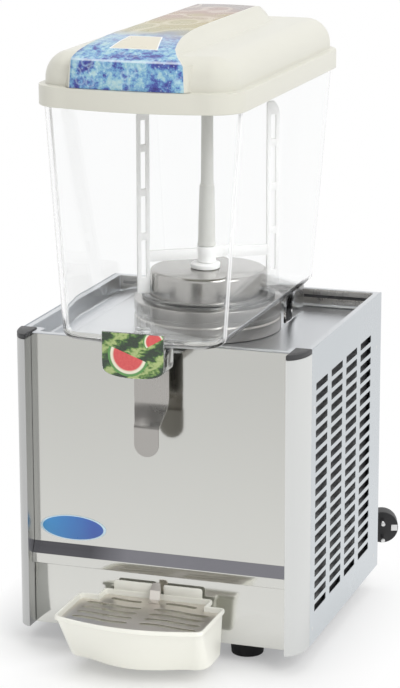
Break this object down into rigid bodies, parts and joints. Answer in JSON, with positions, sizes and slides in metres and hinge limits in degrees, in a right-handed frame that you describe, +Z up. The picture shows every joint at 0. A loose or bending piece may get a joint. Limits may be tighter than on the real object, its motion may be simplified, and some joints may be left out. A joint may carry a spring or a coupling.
{
  "type": "cold drink dispenser",
  "caption": "Single-bowl cold drink dispenser: clear lift-off bowl and lid on a steel cabinet, with a stirrer, lever tap, sliding drip tray and mains lead.",
  "frame": {"origin": "on the floor, under the middle of the box round the dispenser without its cord", "axes": "+Z up, front faces -Y, +X to the right as seen from the front"},
  "size_m": [0.3, 0.6208, 0.6225],
  "materials": {
    "mirror_steel": "mirror polished",
    "brushed_steel": "satin",
    "post_metal": "satin",
    "galvanised": "dull",
    "black_plastic": "matte",
    "ivory_plastic": "gloss",
    "white_plastic": "satin",
    "clear_plastic": "transparent",
    "rubber": "matte",
    "seal_rubber": "matte",
    "copper": "bare",
    "aluminium": "bare",
    "black_paint": "satin",
    "print_plastic": "gloss",
    "switch_green": "gloss"
  },
  "bodies": {
    "cabinet": {"base_pan": "galvanised", "foot_front_left": "rubber", "foot_front_right": "rubber", "foot_rear_left": "rubber", "foot_rear_right": "rubber", "side_panel_left": "mirror_steel", "side_panel_right": "mirror_steel", "front_panel": "mirror_steel", "lower_front_panel": "mirror_steel", "rear_panel": "galvanised", "corner_post_left": "post_metal", "corner_post_right": "post_metal", "corner_cap_left": "black_plastic", "corner_cap_right": "black_plastic", "top_deck": "mirror_steel", "drum": "mirror_steel", "drum_base": "brushed_steel", "evaporator_coil": "copper", "agitator_motor": "galvanised", "tray_bracket": "brushed_steel", "compressor": "black_paint", "relay_box": "black_plastic", "condenser": "aluminium", "fan_shroud": "black_plastic", "fan_motor": "black_paint", "discharge_pipe": "copper", "suction_pipe": "copper", "filter_drier": "copper", "liquid_pipe": "copper", "capillary_pipe": "copper", "switch_frame_1": "black_plastic", "switch_frame_2": "black_plastic", "thermostat": "black_plastic", "cord_gland": "black_plastic", "cord_lead": "black_plastic", "cord_coil": "black_plastic", "cord_tail": "black_plastic", "plug": "black_plastic"},
    "drive": {"drive_shaft": "brushed_steel", "drive_magnet": "black_paint"},
    "bowl": {"bowl": "clear_plastic", "bowl_gasket": "seal_rubber", "tap_body": "clear_plastic", "tap_cover": "print_plastic", "lever_pin": "brushed_steel"},
    "stirrer": {"impeller": "white_plastic", "stirrer_frame": "white_plastic", "spray_tube": "white_plastic", "spray_head": "white_plastic"},
    "lid": {"lid": "ivory_plastic"},
    "lever": {"tap_lever": "brushed_steel"},
    "plunger": {"tap_plunger": "white_plastic", "tap_seal": "seal_rubber", "tap_spring": "brushed_steel"},
    "tray": {"drip_tray": "ivory_plastic"},
    "grille": {"drip_grille": "brushed_steel"},
    "fan": {"fan_blade": "black_plastic"},
    "rocker_1": {"switch_rocker_1": "switch_green"},
    "rocker_2": {"switch_rocker_2": "switch_green"},
    "knob": {"thermostat_knob": "black_plastic"}
  },
  "joints": [
    {"name": "drive_spin", "type": "hinge", "parent": "cabinet", "child": "drive", "pos_m": [0, 0.0587, 0.345], "axis": [0, 0, 1], "continuous": true},
    {"name": "bowl_lift", "type": "slide", "parent": "cabinet", "child": "bowl", "axis": [0, 0, 1], "range_m": [0, 0.08]},
    {"name": "stirrer_spin", "type": "hinge", "parent": "bowl", "child": "stirrer", "pos_m": [0, 0.0587, 0.364], "axis": [0, 0, 1], "continuous": true},
    {"name": "lid_lift", "type": "slide", "parent": "bowl", "child": "lid", "axis": [0, 0, 1], "range_m": [0, 0.12]},
    {"name": "lever_push", "type": "hinge", "parent": "bowl", "child": "lever", "pos_m": [0, -0.1518, 0.314], "axis": [1, 0, 0], "range_deg": [0, 15], "stiffness_Nm_per_rad": 0.4, "springref_deg": -14.32},
    {"name": "plunger_lift", "type": "slide", "parent": "bowl", "child": "plunger", "axis": [0, 0, 1], "range_m": [0, 0.005], "deforming": ["tap_spring"]},
    {"name": "tray_pull", "type": "slide", "parent": "cabinet", "child": "tray", "axis": [0, -1, 0], "range_m": [0, 0.1]},
    {"name": "grille_lift", "type": "slide", "parent": "tray", "child": "grille", "axis": [0, 0, 1], "range_m": [0, 0.05]},
    {"name": "fan_spin", "type": "hinge", "parent": "cabinet", "child": "fan", "pos_m": [0.098, 0.0537, 0.126], "axis": [1, 0, 0], "continuous": true},
    {"name": "rocker_1_press", "type": "hinge", "parent": "cabinet", "child": "rocker_1", "pos_m": [-0.11, 0.175, 0.12], "axis": [1, 0, 0], "range_deg": [-16, 0]},
    {"name": "rocker_2_press", "type": "hinge", "parent": "cabinet", "child": "rocker_2", "pos_m": [-0.07, 0.175, 0.12], "axis": [1, 0, 0], "range_deg": [-16, 0]},
    {"name": "knob_turn", "type": "hinge", "parent": "cabinet", "child": "knob", "pos_m": [-0.025, 0.174, 0.12], "axis": [0, 1, 0], "range_deg": [0, 300]}
  ],
  "couplings": [
    {"joint": "stirrer_spin", "follows": "drive_spin", "ratio": 1},
    {"joint": "plunger_lift", "follows": "lever_push", "m_per_rad": 0.019}
  ]
}
